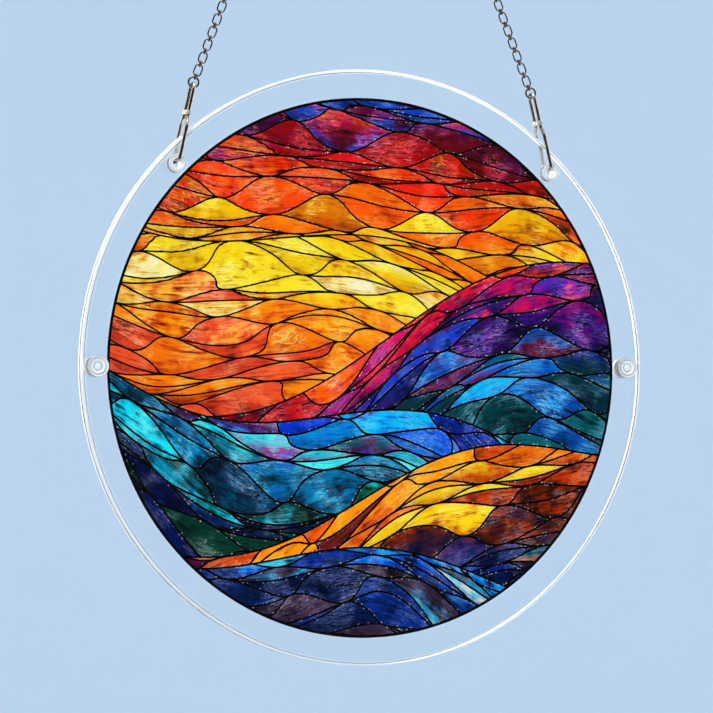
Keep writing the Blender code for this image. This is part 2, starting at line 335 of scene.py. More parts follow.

# Painted highlights on the polished edge: white lines, with painted dark lines of shade between
# them, on its wall from front to back and on both faces just inside it.
from_middle = place_step("SUBTRACT", on_piece(), panel_middle)
reach = place_step("LENGTH", place_step("MULTIPLY", from_middle, in_panel_plane))
towards_rim = rescaled(reach, panel_radius - rim_line_reach, panel_radius)
behind_middle = add_node("ShaderNodeSeparateXYZ", {0: from_middle}).outputs["Y"]
depth = rescaled(behind_middle, -panel_thickness / 2, panel_thickness / 2)
# The painted highlight's white, the painted dark lines' tan and the painted shade at the wall's back.
white, tan, shade = (0.86, 0.86, 0.85), (0.14, 0.11, 0.08), (0.22, 0.20, 0.18)
painted_wall_lines = stops_along(
    depth,
    ((0.0, white), (0.28, white), (0.33, tan), (0.58, tan), (0.63, white), (0.84, white),
     (0.90, shade)),
)
painted_face_lines = stops_along(
    towards_rim,
    ((0.0, white), (0.22, white), (0.27, tan), (0.46, tan), (0.52, white), (1.0, white)),
)
on_wall = figure("GREATER_THAN", towards_rim, rim_wall_start)
painted_rim_colour = blend("RGBA", on_wall, painted_face_lines, painted_wall_lines)
# The painted rim lines glow through a translucent and a diffuse shader, as painted light.
painted_rim_light = add_node("ShaderNodeBsdfTranslucent", {"Color": painted_rim_colour}).outputs["BSDF"]
painted_highlight_skin = add_node("ShaderNodeBsdfDiffuse", {"Color": painted_rim_colour}).outputs["BSDF"]
painted_rim_glow = blend_shaders(rim_skin_share, painted_rim_light, painted_highlight_skin)
# How strongly the painted rim lines cover the clear acrylic, on its front and on its back.
clear, faint, strong = (0.0, 0.0, 0.0), (0.42, 0.42, 0.42), (0.78, 0.78, 0.78)
front_share = stops_along(
    towards_rim,
    ((0.0, clear), (0.06, clear), (0.12, strong), (0.23, strong), (0.27, faint), (0.46, faint),
     (0.54, strong)),
)
back_share = stops_along(towards_rim, ((0.54, clear), (0.62, strong)))
front_half = figure("LESS_THAN", depth, 0.5)
painted_rim_share = blend("RGBA", front_half, back_share, front_share)

# The ink is printed on the back face without any air between, so nothing mirrors there.
on_back = figure("GREATER_THAN", depth, 0.99)
printed_face = figure("MULTIPLY", on_back, figure("LESS_THAN", reach, print_radius))
joined_face = add_node("ShaderNodeBsdfRefraction", {"Roughness": 0.0, "IOR": acrylic_ior})
faces = blend_shaders(printed_face, shader.outputs["BSDF"], joined_face.outputs["BSDF"])
whole = blend_shaders(painted_rim_share, faces, painted_rim_glow)
feed(tree.nodes["Material Output"].inputs["Surface"], whole)


def sharp_edges(bm, degrees):
    """The edges where two faces meet at more than an angle."""
    return [edge for edge in bm.edges if edge.calc_face_angle(0.0) > math.radians(degrees)]


def round_off(bm, edges, width, steps, clamped=False):
    """Rounds edges by a small bevel."""
    bmesh.ops.bevel(
        bm, geom=edges, offset=width, offset_type="OFFSET", segments=steps, profile=0.5,
        affect="EDGES", clamp_overlap=clamped, material=-1,
    )


lay_to_front = Matrix.Rotation(math.pi / 2, 4, "X")
bm = bmesh.new()
outlines = [(Vector((0.0, 0.0, 0.0)), panel_radius, panel_sides)]
for side, _ in sides:
    for node, diameter in (("eyelet_", hanging_hole_diameter), ("bumper_", stud_hole_diameter)):
        offset = middle_of(node + side) - panel_middle
        outlines.append((Vector((offset.x, offset.z, 0.0)), diameter / 2, hole_sides))
for middle, radius, segments in outlines:
    bmesh.ops.create_circle(
        bm, segments=segments, radius=radius, matrix=Matrix.Translation(middle)
    )
bmesh.ops.triangle_fill(bm, edges=bm.edges[:], use_beauty=True)
bmesh.ops.translate(bm, verts=bm.verts, vec=(0.0, 0.0, -panel_thickness / 2))
made = bmesh.ops.extrude_face_region(bm, geom=bm.faces[:], use_keep_orig=True)["geom"]
far_corners = [item for item in made if isinstance(item, bmesh.types.BMVert)]
bmesh.ops.translate(bm, verts=far_corners, vec=(0.0, 0.0, panel_thickness))
bmesh.ops.recalc_face_normals(bm, faces=bm.faces)
outer_edges = [
    edge for edge in sharp_edges(bm, 60)
    if min(corner.co.to_2d().length for corner in edge.verts) > panel_radius * 0.999
]
round_off(bm, outer_edges, panel_edge_bevel, panel_edge_steps)
bmesh.ops.transform(bm, matrix=Matrix.Translation(panel_middle) @ lay_to_front, verts=bm.verts)
panel = make_object("clear_panel", bm, acrylic)
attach(panel, "root")
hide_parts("panel")

# The printed picture: a thin translucent film of ink on the panel's back face, an abstract design
# of ribbons that run across one under another, each cut into flowing panes like leaded glass. Its
# colours are deep where light comes through, its leads are opaque black, and its edge is white.
film_clearance = 0.00003
film_thickness = 0.00004
film_rings = 40
film_sides = 192
picture_reach = 90.5
black_edge = 0.95
slope_step = 0.05

# Lengths of the design are in millimetres from the panel's middle. A border is its height at the
# middle, its tilt, its wave's height and reach, and the wave's shift. Colours run up the ribbon,
# and a pane's tone lies between the two that the ribbon gives.
ribbons = (
    dict(
        name="crown", border=None, follow=(34.0, -0.30, 13.0, 33.0, 30.0), ride=0.5, turn=4.0,
        pane=(37.0, 5.0), rows=(3.0, 14.0), lead=0.29, tones=(0.42, 0.94),
        colours=((0.95, 0.42, 0.006), (0.95, 0.30, 0.004), (0.90, 0.16, 0.004), (0.80, 0.06, 0.004),
                 (0.45, 0.010, 0.014), (0.18, 0.006, 0.09), (0.08, 0.014, 0.20)),
        accents=((0.90, 0.22, 0.004), (0.94, 0.50, 0.01), (0.90, 0.32, 0.006), (0.52, 0.014, 0.010),
                 (0.90, 0.17, 0.006), (0.36, 0.010, 0.10), (0.02, 0.09, 0.36)),
    ),
    dict(
        name="gold", border=(34.0, -0.30, 13.0, 33.0, 30.0), ride=1.0, turn=-7.0,
        pane=(38.0, 4.8), rows=(-7.0, 0.0), lead=0.28, tones=(0.58, 0.90),
        colours=((0.85, 0.22, 0.01), (0.92, 0.38, 0.008), (0.94, 0.62, 0.06), (0.94, 0.50, 0.004),
                 (0.92, 0.34, 0.004)),
        accents=((0.66, 0.13, 0.05), (0.88, 0.38, 0.08), (0.95, 0.74, 0.32), (0.94, 0.58, 0.03),
                 (0.90, 0.22, 0.006)),
    ),
    dict(
        name="plum", border=(8.0, 0.24, 13.0, 30.0, -8.0), ride=0.9, turn=9.0,
        pane=(33.0, 5.2), rows=(-8.0, 0.0), lead=0.33, tones=(0.38, 1.20),
        colours=((0.004, 0.12, 0.14), (0.003, 0.03, 0.16), (0.08, 0.010, 0.17), (0.26, 0.007, 0.09),
                 (0.50, 0.030, 0.020)),
        accents=((0.01, 0.20, 0.50), (0.14, 0.004, 0.04), (0.004, 0.07, 0.28), (0.14, 0.012, 0.20),
                 (0.85, 0.14, 0.006)),
    ),
    dict(
        name="sea", border=(-20.0, -0.26, 11.0, 28.0, 14.0), ride=0.9, turn=-9.0,
        pane=(35.0, 5.4), rows=(-8.0, 0.0), lead=0.34, tones=(0.42, 1.60),
        colours=((0.002, 0.012, 0.08), (0.003, 0.07, 0.13), (0.006, 0.20, 0.30), (0.005, 0.10, 0.38),
                 (0.003, 0.04, 0.24)),
        accents=((0.003, 0.07, 0.05), (0.01, 0.32, 0.46), (0.04, 0.46, 0.56), (0.13, 0.008, 0.08),
                 (0.01, 0.22, 0.56)),
    ),
    dict(
        name="ember", border=(-44.0, 0.20, 9.0, 25.0, 2.0), ride=0.9, turn=10.0,
        pane=(34.0, 4.8), rows=(-10.0, 0.0), lead=0.32, tones=(0.54, 1.45),
        colours=((0.002, 0.03, 0.15), (0.12, 0.025, 0.003), (0.50, 0.10, 0.003), (0.90, 0.28, 0.004),
                 (0.50, 0.10, 0.003)),
        accents=((0.004, 0.13, 0.18), (0.55, 0.12, 0.003), (1.0, 0.58, 0.03), (0.20, 0.04, 0.006),
                 (0.09, 0.008, 0.06)),
    ),
    dict(
        name="sand", border=(-67.0, -0.12, 7.0, 24.0, 30.0), ride=0.8, turn=-5.0,
        pane=(36.0, 4.6), rows=(-5.0, 0.0), lead=0.32, tones=(0.55, 1.80),
        colours=((0.003, 0.03, 0.12), (0.004, 0.06, 0.22), (0.008, 0.18, 0.38), (0.05, 0.10, 0.22),
                 (0.55, 0.38, 0.22)),
        accents=((0.05, 0.03, 0.06), (0.01, 0.16, 0.24), (0.03, 0.36, 0.52), (0.30, 0.22, 0.22),
                 (0.75, 0.55, 0.33)),
    ),
)


def border_height(border, x):
    """How high a ribbon's upper border lies at a place across the panel."""
    height, tilt, wave, wave_reach, shift = border
    return height + tilt * x + wave * math.sin((x + shift) / wave_reach)


def flow(ribbon, x, z):
    """How far along and how far across the ribbon's panes a point lies, in panes.

    Slow and quick waves, each out of step with the next, bend the panes and vary their sizes.
    """
    length, height = ribbon["pane"]
    followed = ribbon["border"] or ribbon["follow"]
    turn = math.radians(ribbon["turn"])
    start = ribbon["turn"] * 1.7
    up = z - ribbon["ride"] * border_height(followed, x)
    along = x * math.cos(turn) + up * math.sin(turn)
    up = up * math.cos(turn) - x * math.sin(turn) + 2.5 * math.sin(along / 17.0 + start)
    u = along / length + 0.09 * math.sin(0.33 * up / height + start)
    v = up / height * (1.0 + 0.16 * math.sin(along / 52.0 + start))
    v += 0.42 * math.sin(1.25 * v + start)
    u += 0.14 * math.sin(0.9 * v + start) + 0.06 * math.sin(2.3 * v)
    v += 0.42 * math.sin(1.3 * u + 0.31 * v) + 0.28 * math.sin(3.1 * u - 0.45 * v + 2.0)
    return u, v


# Half the film's section is turned about its axis. Its corners carry, for each ribbon, the flow,
# how steeply that changes, and how far inside the ribbon's border they lie.
bm = bmesh.new()
half_section = [
    bm.verts.new((across, 0.0, height))
    for across, height in (
        (0.0, 0.0), (print_radius, 0.0), (print_radius, film_thickness), (0.0, film_thickness)
    )
]
spokes = [bm.edges.new(pair) for pair in zip(half_section, half_section[1:])]
bmesh.ops.subdivide_edges(bm, edges=[spokes[0], spokes[2]], cuts=film_rings - 1)
bmesh.ops.spin(
    bm, geom=bm.verts[:] + bm.edges[:], cent=(0.0, 0.0, 0.0), axis=(0.0, 0.0, 1.0),
    angle=2 * math.pi, steps=film_sides, use_merge=True,
)
bmesh.ops.remove_doubles(bm, verts=bm.verts, dist=film_thickness / 10)
bmesh.ops.recalc_face_normals(bm, faces=bm.faces)
film_front = panel_middle + Vector((0.0, panel_thickness / 2 + film_clearance, 0.0))
lay_to_back = Matrix.Rotation(-math.pi / 2, 4, "X")
bmesh.ops.transform(bm, matrix=Matrix.Translation(film_front) @ lay_to_back, verts=bm.verts)
reach_layer = bm.verts.layers.float.new("reach")
flow_layers = [bm.verts.layers.float_vector.new(ribbon["name"] + "_flow") for ribbon in ribbons]
slope_layers = [bm.verts.layers.float_vector.new(ribbon["name"] + "_slopes") for ribbon in ribbons]
border_layers = [bm.verts.layers.float.new(ribbon["name"] + "_border") for ribbon in ribbons]
for corner in bm.verts:
    x = (corner.co.x - panel_middle.x) * 1000
    z = (corner.co.z - panel_middle.z) * 1000
    corner[reach_layer] = math.hypot(x, z)
    layers = zip(ribbons, flow_layers, slope_layers, border_layers)
    for ribbon, flow_layer, slope_layer, border_layer in layers:
        u, v = flow(ribbon, x, z)
        u_right, v_right = flow(ribbon, x + slope_step, z)
        u_up, v_up = flow(ribbon, x, z + slope_step)
        along = Vector((u_right - u, u_up - u)) / slope_step
        across = Vector((v_right - v, v_up - v)) / slope_step
        corner[flow_layer] = (u, v, 0.0)
        corner[slope_layer] = (across.dot(across), across.dot(along), along.dot(along))
        if ribbon["border"]:
            here = border_height(ribbon["border"], x)
            lean = (border_height(ribbon["border"], x + slope_step) - here) / slope_step
            corner[border_layer] = (here - z) / math.hypot(1.0, lean)

ink, tree, shader = new_finish("printed_ink", {"Roughness": 0.35, "Specular IOR Level": 0.15})
far_off = 99.0
least_steepness = 0.02
uncut_share = 0.52
accent_share = 0.36
lead_softness = 0.06
lead_black = (0.003, 0.002, 0.002, 1.0)
pale_glass = (0.62, 0.60, 0.62, 1.0)
film_white = (0.42, 0.44, 0.48, 1.0)
brightest_colour = (0.86, 0.78, 0.68)
surface_share = 0.25


def stored(name, output):
    """A value that the film's mesh carries."""
    return add_node("ShaderNodeAttribute", {}, attribute_name=name).outputs[output]


def combined(x, y, z):
    """Three values as one place."""
    return add_node("ShaderNodeCombineXYZ", {0: x, 1: y, 2: z}).outputs["Vector"]


def channels_of(colour):
    """A colour's red, green and blue."""
    return add_node("ShaderNodeSeparateColor", {"Color": colour}).outputs


def colour_run(position, colours):
    """Colours at even steps along a position from 0 to 1."""
    last = len(colours) - 1
    return stops_along(position, [(count / last, colour) for count, colour in enumerate(colours)])


def either_way(value, most):
    """A value from 0 to 1, brought to between minus and plus the most."""
    return figure("MULTIPLY_ADD", value, 2.0 * most, -most)


def about_one(value, contrast):
    """A value from 0 to 1 as a factor, which is 1 where the value is a half."""
    return figure("MULTIPLY_ADD", value, contrast, 1.0 - contrast / 2)


# Which ribbon lies on top at each point, and how far the nearest border that shows is.
flow_here = stored("crown_flow", "Vector")
slopes_here = stored("crown_slopes", "Vector")
rank_here = 0.0
lead_here = ribbons[0]["lead"]
darkest_here, lightest_here = ribbons[0]["tones"]
border_here = far_off
covers = [None]
for rank, ribbon in enumerate(ribbons[1:], start=1):
    inside = stored(ribbon["name"] + "_border", "Fac")
    cover = figure("GREATER_THAN", inside, 0.0)
    covers.append(cover)
    flow_here = blend("VECTOR", cover, flow_here, stored(ribbon["name"] + "_flow", "Vector"))
    slopes_here = blend("VECTOR", cover, slopes_here, stored(ribbon["name"] + "_slopes", "Vector"))
    rank_here = blend("FLOAT", cover, rank_here, float(rank))
    lead_here = blend("FLOAT", cover, lead_here, ribbon["lead"])
    darkest_here = blend("FLOAT", cover, darkest_here, ribbon["tones"][0])
    lightest_here = blend("FLOAT", cover, lightest_here, ribbon["tones"][1])
    still_open = figure("MAXIMUM", border_here, figure("MULTIPLY", cover, far_off))
    border_here = figure("MINIMUM", still_open, figure("ABSOLUTE", inside))


def even_number_below(value):
    """The nearest even number below a value."""
    return figure("MULTIPLY", figure("FLOOR", figure("MULTIPLY", value, 0.5)), 2.0)


# The panes: two sets of waves, half a wave apart, that just touch, so that each pane is a lens.
flow_parts = add_node("ShaderNodeSeparateXYZ", {0: flow_here}).outputs
u, v = flow_parts[0], flow_parts[1]
whole_turn = figure("MULTIPLY", u, 2 * math.pi)
half_wave = figure("MULTIPLY", figure("SINE", whole_turn), 0.5)
even_row = even_number_below(figure("SUBTRACT", v, half_wave))
even_line = figure("ADD", even_row, half_wave)
row_lower = figure("SUBTRACT", figure("ADD", v, half_wave), 1.0)
odd_row = figure("ADD", even_number_below(row_lower), 1.0)
odd_line = figure("SUBTRACT", odd_row, half_wave)
is_even = figure("GREATER_THAN", even_line, odd_line)
row = blend("FLOAT", is_even, odd_row, even_row)
below = figure("SUBTRACT", v, figure("MAXIMUM", even_line, odd_line))
above = figure("SUBTRACT", figure("ADD", figure("MINIMUM", even_line, odd_line), 2.0), v)
even_column = figure("FLOOR", figure("SUBTRACT", u, 0.25))
odd_column = figure("ADD", figure("FLOOR", figure("SUBTRACT", u, 0.75)), 0.5)
column = blend("FLOAT", is_even, odd_column, even_column)

# A wave's line leans along the flow, which makes it steeper or shallower to cross. The leads are as
# thick everywhere because each distance is divided by the steepness of its own line.
slopes = add_node("ShaderNodeSeparateXYZ", {0: slopes_here}).outputs
lean = figure("MULTIPLY", figure("COSINE", whole_turn), math.pi)
lean = figure("MULTIPLY", lean, figure("MULTIPLY_ADD", is_even, 2.0, -1.0))


def steepness(line_lean):
    """How many panes a millimetre straight across a line covers."""
    lean_squared = figure("MULTIPLY", line_lean, line_lean)
    square = figure("MULTIPLY_ADD", lean_squared, slopes[2], slopes[0])
    square = figure("MULTIPLY_ADD", figure("MULTIPLY", line_lean, -2.0), slopes[1], square)
    return figure("SQRT", figure("MAXIMUM", square, least_steepness ** 2))


to_lower = figure("DIVIDE", below, steepness(lean))
to_upper = figure("DIVIDE", above, steepness(figure("MULTIPLY", lean, -1.0)))
to_lead = figure("MINIMUM", figure("MINIMUM", to_lower, to_upper), border_here)


def pane_draws(key):
    """Three even draws for each pane, the same all over it, and others for another key."""
    chance = add_node(
        "ShaderNodeTexWhiteNoise", {"Vector": combined(row, column, key)}, noise_dimensions="3D"
    )
    return channels_of(chance.outputs["Color"])


# Some panes are cut once more from tip to tip, into two narrow ones.
whole_height = figure("MAXIMUM", figure("ADD", below, above), 0.001)
share = figure("DIVIDE", below, whole_height)
cut_draws = pane_draws(figure("ADD", rank_here, 20.0))
is_cut = figure("GREATER_THAN", cut_draws[0], uncut_share)
cut_at = figure("MULTIPLY_ADD", cut_draws[1], 0.40, 0.30)
past_cut = figure("SUBTRACT", share, cut_at)
cut_lean = figure("MULTIPLY", lean, figure("MULTIPLY_ADD", cut_at, -2.0, 1.0))
to_cut = figure("MULTIPLY", figure("ABSOLUTE", past_cut), whole_height)
to_cut = figure("DIVIDE", to_cut, steepness(cut_lean))
to_cut = figure("ADD", to_cut, figure("MULTIPLY", figure("SUBTRACT", 1.0, is_cut), far_off))
to_lead = figure("MINIMUM", to_lead, to_cut)
upper_half = figure("MULTIPLY", is_cut, figure("GREATER_THAN", past_cut, 0.0))


def along_flow(fineness, detail, **more):
    """Noise that is drawn out along the flow, another on each ribbon."""
    parts = [figure("MULTIPLY", part, times) for part, times in zip((u, v, rank_here), fineness)]
    return mottle(combined(*parts), 1.0, detail, **more)


# Inside a pane the glass is cloudy, and streaked along the flow. Each pane draws its own place on
# the ribbon's run of colours, its own tone and its own set. The place drifts with the streaks and
# clouds and across the pane, so that a pane holds several hues.
cloud = mottle(on_piece(), 190.0, detail=5.0, Roughness=0.62)
streak = along_flow((4.0, 6.0, 7.0), detail=5.0, Roughness=0.6, Distortion=0.6)
draws = pane_draws(figure("MULTIPLY_ADD", upper_half, 0.5, rank_here))
offset, tone, choice = draws[0], draws[1], draws[2]
across_pane = figure("MULTIPLY", figure("SUBTRACT", share, 0.5), either_way(choice, 2.5))
drifts = (either_way(offset, 1.3), either_way(streak, 1.7), either_way(cloud, 2.5), across_pane)
colour_row = row
for drift in drifts:
    colour_row = figure("ADD", colour_row, drift)
accent = figure("LESS_THAN", choice, accent_share)
for ribbon, cover in zip(ribbons, covers):
    first_row, last_row = ribbon["rows"]
    position = figure("DIVIDE", figure("SUBTRACT", colour_row, first_row), last_row - first_row)
    ribbon_colour = blend(
        "RGBA", accent, colour_run(position, ribbon["colours"]),
        colour_run(position, ribbon["accents"]),
    )
    if cover is None:
        pane_colour = ribbon_colour
    else:
        pane_colour = blend("RGBA", cover, pane_colour, ribbon_colour)

# A pane is lighter towards its upper lead, and the whole picture towards its middle.
brightness = blend("FLOAT", figure("POWER", tone, 1.3), darkest_here, lightest_here)
texture = figure("MULTIPLY", about_one(cloud, 3.0), about_one(streak, 4.0))
texture = figure("MULTIPLY", texture, about_one(share, 0.5))
brightness = figure("MULTIPLY", brightness, figure("MINIMUM", texture, 1.25))
reach_here = stored("reach", "Fac")
towards_edge = figure("POWER", figure("DIVIDE", reach_here, picture_reach), 2.0)
brightness = figure("MULTIPLY", brightness, figure("MULTIPLY_ADD", towards_edge, -0.35, 1.20))
channels = channels_of(pane_colour)
strongest = figure("MAXIMUM", figure("MAXIMUM", channels[0], channels[1]), channels[2])
full_light = figure("DIVIDE", 0.84, figure("MAXIMUM", strongest, 0.05))
brightness = figure("MINIMUM", figure("MAXIMUM", brightness, 0.04), full_light)
lit = add_node(
    "ShaderNodeVectorMath", {0: pane_colour, "Scale": brightness}, operation="SCALE"
).outputs["Vector"]


def veins(noise, fineness):
    """Fine lines where a noise passes its middle."""
    from_vein = figure("MULTIPLY", figure("ABSOLUTE", figure("SUBTRACT", noise, 0.5)), fineness)
    return figure("MAXIMUM", figure("SUBTRACT", 1.0, from_vein), 0.0)


def dots(cells, size, chance):
    """Small round dots, at most one in each cell, of which a metre holds so many in a row."""
    cell = add_node("ShaderNodeTexVoronoi", {"Vector": on_piece(), "Scale": cells})
    near = figure("LESS_THAN", cell.outputs["Distance"], size)
    drawn = figure("LESS_THAN", channels_of(cell.outputs["Color"])[0], chance)
    return figure("MULTIPLY", near, drawn)


# Fine pale wisps that follow the flow in patches, pale flecks and scratches, and bright beads along
# the leads, as in hand-made glass. The light gold panes have only a few.
patch = rescaled(mottle(on_piece(), 85.0), 0.46, 0.60)
wisp = veins(along_flow((4.0, 4.4, 5.0), detail=3.0, Distortion=1.2), 16.0)
wisp = figure("MULTIPLY", wisp, patch)
dark_ribbon = figure("LESS_THAN", darkest_here, 0.565)
dot_share = figure("MULTIPLY_ADD", dark_ribbon, 0.85, 0.15)
fleck = figure("MULTIPLY", dots(900.0, 0.20, 0.20), patch)
beside_lead = figure("LESS_THAN", figure("SUBTRACT", to_lead, lead_here), 0.26)
bead = figure("MULTIPLY", dots(1100.0, 0.32, 0.50), beside_lead)
dotted = figure("MAXIMUM", figure("MULTIPLY", fleck, 0.4), figure("MULTIPLY", bead, 0.8))
dotted = figure("MULTIPLY", dotted, dot_share)
scratch = veins(along_flow((5.0, 12.0, 3.0), detail=1.0, Distortion=1.6), 38.0)
scratch = figure("MULTIPLY", figure("MULTIPLY", scratch, patch), 0.50)
wisp_colour = place_step("MULTIPLY_ADD", pane_colour, (1.8, 1.8, 1.8), (0.06, 0.06, 0.07))
lit = blend("RGBA", figure("MULTIPLY", wisp, 0.85), lit, wisp_colour)
lit = blend("RGBA", figure("MAXIMUM", dotted, scratch), lit, pale_glass)
lit = place_step("MINIMUM", lit, brightest_colour)

# Light passes both skins of the film, so strong colours are held back and don't bleach.
held_back = add_node("ShaderNodeRGBCurve", {"Color": lit})
shoulder = held_back.mapping.curves[3].points
shoulder[1].location = (1.0, 0.465)
for strength, kept in ((0.15, 0.15), (0.30, 0.30), (0.50, 0.388), (0.70, 0.432)):
    shoulder.new(strength, kept)
held_back.mapping.update()

# The leads, the black edge around the picture and the white edge of the film outside it.
lead_start = figure("SUBTRACT", lead_here, lead_softness)
lead_end = figure("ADD", lead_here, lead_softness)
glass = rescaled(to_lead, lead_start, lead_end, interpolation_type="SMOOTHSTEP")
glass = figure("MULTIPLY", glass, figure("LESS_THAN", reach_here, picture_reach - black_edge))
colour = blend("RGBA", glass, lead_black, held_back.outputs["Color"])
white_edge = figure("GREATER_THAN", reach_here, picture_reach)
colour = blend("RGBA", white_edge, colour, film_white)
feed(shader.inputs["Base Color"], colour)
glow = add_node("ShaderNodeBsdfTranslucent", {"Color": colour}).outputs["BSDF"]
whole = blend_shaders(surface_share, glow, shader.outputs["BSDF"])
feed(tree.nodes["Material Output"].inputs["Surface"], whole)
film = make_object("printed_film", bm, ink)
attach(film, "root")

# The eyelets and the bumper studs: moulded clear soft plastic, a little milky. An eyelet lines each
# hanging hole with a lip on both faces. A stud is pushed through the panel at each side, with rings
# around its head in front and a flat pad behind, which keeps the panel off what it hangs against.
eyelet_bore = 0.0034
eyelet_wall = 0.0006
eyelet_lip_width = 0.0007
eyelet_lip_height = 0.0004
eyelet_rounding = 0.00014
stud_shank_diameter = 0.0040
stud_pad_diameter = 0.0068
stud_ring_widths = (0.0072, 0.0048, 0.0024)
stud_groove_depth = 0.0005
stud_groove_slope = 0.0003
stud_ring_flat = 0.0001
stud_ring_drop = 0.0001
stud_head_flat = 0.0004
stud_head_slope = 0.0002
stud_nub_share = 0.55
stud_nub_drop = 0.00005
stud_nub_shoulder_drop = 0.00018
stud_rounding = 0.00012
fitting_gap = 0.00025
fitting_steps = 64
fitting_corner_degrees = 30
ring_shade_reach = 0.004
ring_unevenness = 0.0003

soft_plastic, tree, shader = new_finish(
    "clear_soft_plastic", {"Transmission Weight": 0.25, "IOR": 1.45}
)
flow_marks = mottle(on_piece(), 900.0, detail=4.0, Distortion=1.5)
plastic_tint = stops_along(flow_marks, ((0.35, (0.78, 0.78, 0.78)), (0.60, (0.90, 0.90, 0.89))))
either_side = place_step("ABSOLUTE", place_step("SUBTRACT", on_piece(), panel_middle))


def reach_from(node):
    """How far a point is from the axis of the nearer of two fittings, left and right."""
    offset = middle_of(node) - panel_middle
    from_axis = place_step("SUBTRACT", either_side, (offset.x, 0.0, offset.z))
    return place_step("LENGTH", place_step("MULTIPLY", from_axis, in_panel_plane))


def bump_by(height, strength, depth):
    """Fine unevenness of the skin, by the shader alone."""
    bump = add_node("ShaderNodeBump", {"Height": height, "Strength": strength, "Distance": depth})
    feed(shader.inputs["Normal"], bump.outputs["Normal"])


# Rings of shade lie in the studs' grooves and on the eyelets' lips, a little uneven from the mould.
unshaded, shaded = (1.0, 1.0, 1.0), (0.34, 0.31, 0.28)
ring_stops = [(0.0, unshaded)]
for ring_place in (0.33, 0.64, 0.88):
    ring_stops += [(ring_place - 0.05, unshaded), (ring_place, shaded), (ring_place + 0.05, unshaded)]
ring_stops.append((1.0, unshaded))
axis_reach = figure("MINIMUM", reach_from("bumper_right"), reach_from("eyelet_right"))
uneven_reach = figure("ADD", axis_reach, either_way(flow_marks, ring_unevenness))
ring_shade = stops_along(rescaled(uneven_reach, 0.0, ring_shade_reach), ring_stops)
feed(shader.inputs["Base Color"], place_step("MULTIPLY", plastic_tint, ring_shade))
feed(shader.inputs["Roughness"], rescaled(flow_marks, 0.0, 1.0, 0.08, 0.30))
bump_by(flow_marks, strength=0.25, depth=0.0001)


def turned(profile, closed, rounding):
    """A profile of (radius, height) points turned about Z, its turned edges rounded."""
    turned_bm = bmesh.new()
    points = [turned_bm.verts.new((radius, 0.0, height)) for radius, height in profile]
    for first, second in zip(points, points[1:] + points[:1] if closed else points[1:]):
        turned_bm.edges.new((first, second))
    bmesh.ops.spin(
        turned_bm, geom=turned_bm.verts[:] + turned_bm.edges[:], cent=(0.0, 0.0, 0.0),
        axis=(0.0, 0.0, 1.0), angle=2 * math.pi, steps=fitting_steps, use_merge=True,
    )
    bmesh.ops.remove_doubles(turned_bm, verts=turned_bm.verts, dist=0.000001)
    bmesh.ops.recalc_face_normals(turned_bm, faces=turned_bm.faces)
    round_off(turned_bm, sharp_edges(turned_bm, fitting_corner_degrees), rounding, 3, clamped=True)
    return turned_bm


bore = eyelet_bore / 2
barrel = bore + eyelet_wall
lip = barrel + eyelet_lip_width
seat = panel_thickness / 2 + fitting_gap
face = seat + eyelet_lip_height
eyelet_profile = [
    (bore, face), (lip, face), (lip, seat), (barrel, seat),
    (barrel, -seat), (lip, -seat), (lip, -face), (bore, -face),
]
for side, _ in sides:
    bm = turned(eyelet_profile, True, eyelet_rounding)
    stand = Matrix.Translation(middle_of("eyelet_" + side)) @ lay_to_front
    bmesh.ops.transform(bm, matrix=stand, verts=bm.verts)
    eyelet = make_object("clear_eyelet_" + side, bm, soft_plastic)
    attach(eyelet, "root")
    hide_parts("eyelet_" + side)

stud_low, stud_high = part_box("bumper_left")
top = panel_middle.y - stud_low.y
bottom = panel_middle.y - stud_high.y
head, ring, nub = (width / 2 for width in stud_ring_widths)
shank = stud_shank_diameter / 2
pad = stud_pad_diameter / 2
groove = top - stud_groove_depth
ring_top = top - stud_ring_drop
stud_profile = [
    (0.0, top - stud_nub_drop), (nub * stud_nub_share, top - stud_nub_shoulder_drop),
    (nub, groove), (nub + stud_groove_slope, groove),
    (ring - stud_groove_slope, ring_top), (ring + stud_ring_flat, ring_top),
    (ring + stud_ring_flat + stud_groove_slope, groove),
    (head - stud_head_flat - stud_head_slope, groove), (head - stud_head_flat, top), (head, top),
    (head, seat), (shank, seat), (shank, -seat), (pad, -seat), (pad, bottom), (0.0, bottom),
]
for side, _ in sides:
    bm = turned(stud_profile, False, stud_rounding)
    stud_middle = middle_of("bumper_" + side)
    stud_middle.y = panel_middle.y
    bmesh.ops.transform(bm, matrix=Matrix.Translation(stud_middle) @ lay_to_front, verts=bm.verts)
    stud = make_object("clear_stud_" + side, bm, soft_plastic)
    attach(stud, "root")
    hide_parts("bumper_" + side)

# The hooks: long closed loops of polished nickel-plated steel wire. Each is square below, where it
# passes through its eyelet with one run in front of the panel and one behind, and round on top,
# where it holds the chain.
hook_wire = 0.0012
hook_length = 0.0265
hook_runs_apart = 0.0040
hook_corner_radius = 0.0012
hook_runs_inset = 0.000005
hook_tilt = math.radians(13.0)
hook_edge_clearance = 0.0117
hook_spread_steps = 8
sleeve_drop = 0.0100
sleeve_height = 0.0015
wire_sides = 20
bend_step = math.radians(15)


def plate(dark_tint, light_tint):
    """Nickel plating on drawn steel wire, mottled between two tints, for the finish in hand."""
    plating = mottle(on_piece(), 420.0, detail=6.0)
    feed(shader.inputs["Base Color"], stops_along(plating, ((0.3, dark_tint), (0.65, light_tint))))
    feed(shader.inputs["Roughness"], rescaled(plating, 0.0, 1.0, 0.07, 0.18))
    bump_by(mottle(on_piece(), 2500.0, detail=3.0), strength=0.12, depth=0.00005)


polished_nickel, tree, shader = new_finish("polished_nickel", {"Metallic": 1.0})
plate((0.38, 0.31, 0.25), (0.68, 0.61, 0.52))


def close_wire(wire_bm):
    """Joins the wire's last section to its first and turns its skin outwards."""
    bmesh.ops.remove_doubles(wire_bm, verts=wire_bm.verts, dist=0.000002)
    bmesh.ops.recalc_face_normals(wire_bm, faces=wire_bm.faces)


